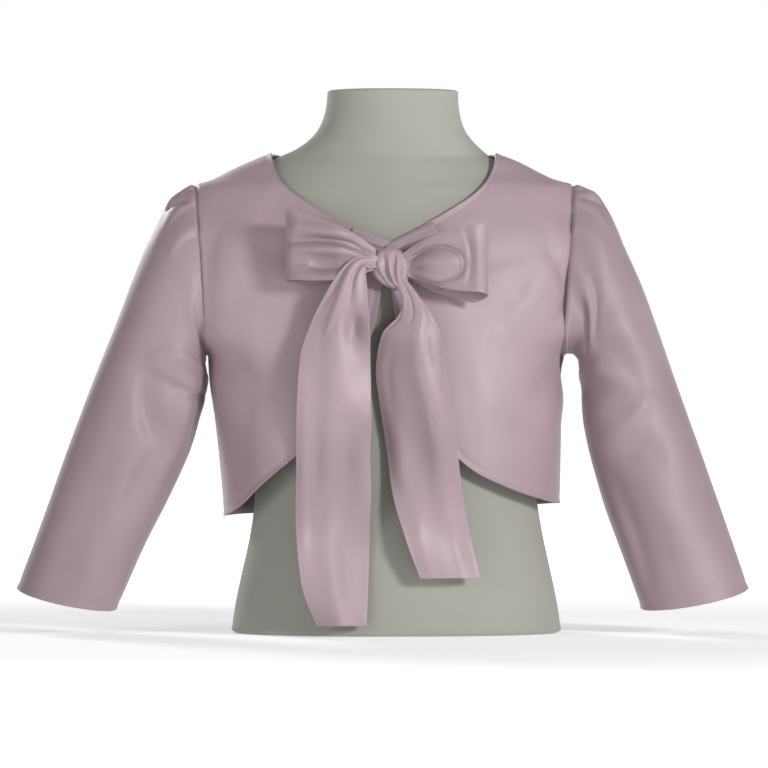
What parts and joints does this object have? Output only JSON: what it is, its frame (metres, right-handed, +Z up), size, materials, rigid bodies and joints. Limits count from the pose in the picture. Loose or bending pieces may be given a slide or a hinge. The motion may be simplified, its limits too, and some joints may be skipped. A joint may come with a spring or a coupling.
{
  "type": "bolero jacket on dress form",
  "caption": "Toddler's dusty mauve satin bolero with long sleeves, cutaway fronts and a ribbon bow, worn on a limbless dress form.",
  "frame": {"origin": "on the flat underside of the dress form, under the middle of the jacket", "axes": "+X towards the wearer's left sleeve, +Z up to the neck, and the front with its bow faces -Y"},
  "size_m": [0.4665, 0.1667, 0.3464],
  "materials": {
    "satin": "satin",
    "ribbon": "satin",
    "form": "matte"
  },
  "bodies": {
    "root": {"dress_form": "form", "back": "satin", "front_left": "satin", "front_right": "satin", "sleeve_left": "satin", "sleeve_right": "satin", "bow_knot": "ribbon", "bow_loop_left": "ribbon", "bow_loop_right": "ribbon", "bow_tail_left": "ribbon", "bow_tail_right": "ribbon", "tie_left": "ribbon", "tie_right": "ribbon"}
  },
  "joints": []
}
